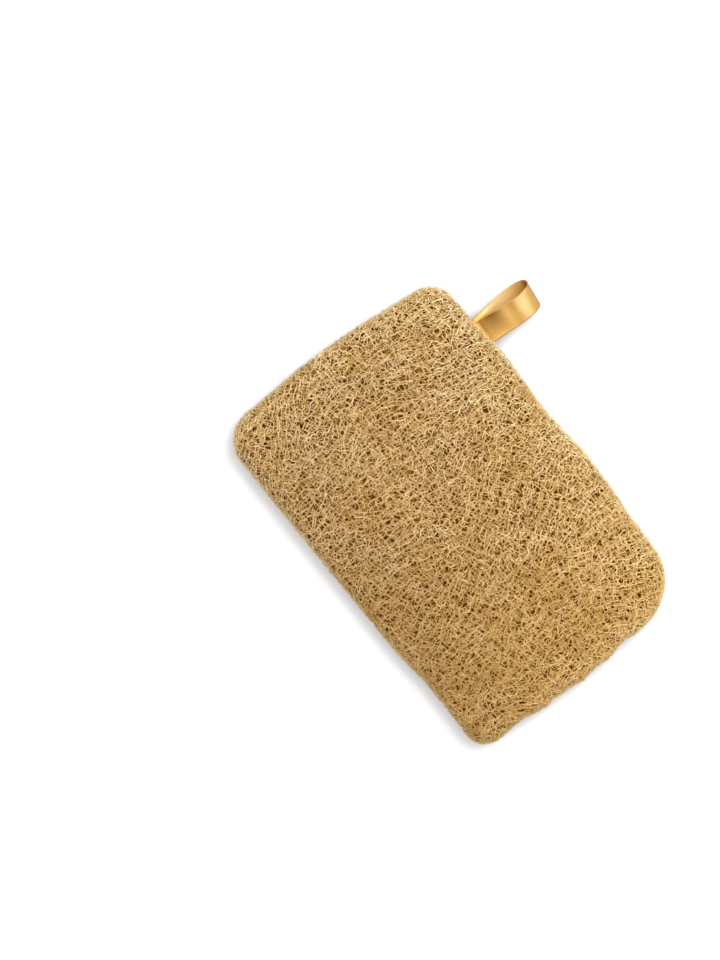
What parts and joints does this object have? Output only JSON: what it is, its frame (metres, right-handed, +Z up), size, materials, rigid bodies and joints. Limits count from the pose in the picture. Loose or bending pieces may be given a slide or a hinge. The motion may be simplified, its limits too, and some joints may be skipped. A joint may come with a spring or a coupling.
{
  "type": "loofah sponge",
  "caption": "Flat natural loofah pad for scrubbing, a rounded rectangle of tangled straw fibres with a folded satin ribbon loop at one edge to hang it by.",
  "frame": {"origin": "centre of the flat spot that the pad rests on, under the middle of the pad", "axes": "+Z is up, square to the pad's two faces. +X runs along the long side, towards the end that is away from the ribbon. +Y runs across the pad, towards the side that the ribbon leaves."},
  "size_m": [0.1571, 0.1254, 0.015],
  "materials": {
    "loofah": "dry, fibrous, matte",
    "ribbon": "gold satin",
    "thread": "matte"
  },
  "bodies": {
    "root": {"loofah_pad": "loofah", "ribbon_loop": "ribbon", "ribbon_stitch": "thread"}
  },
  "joints": []
}
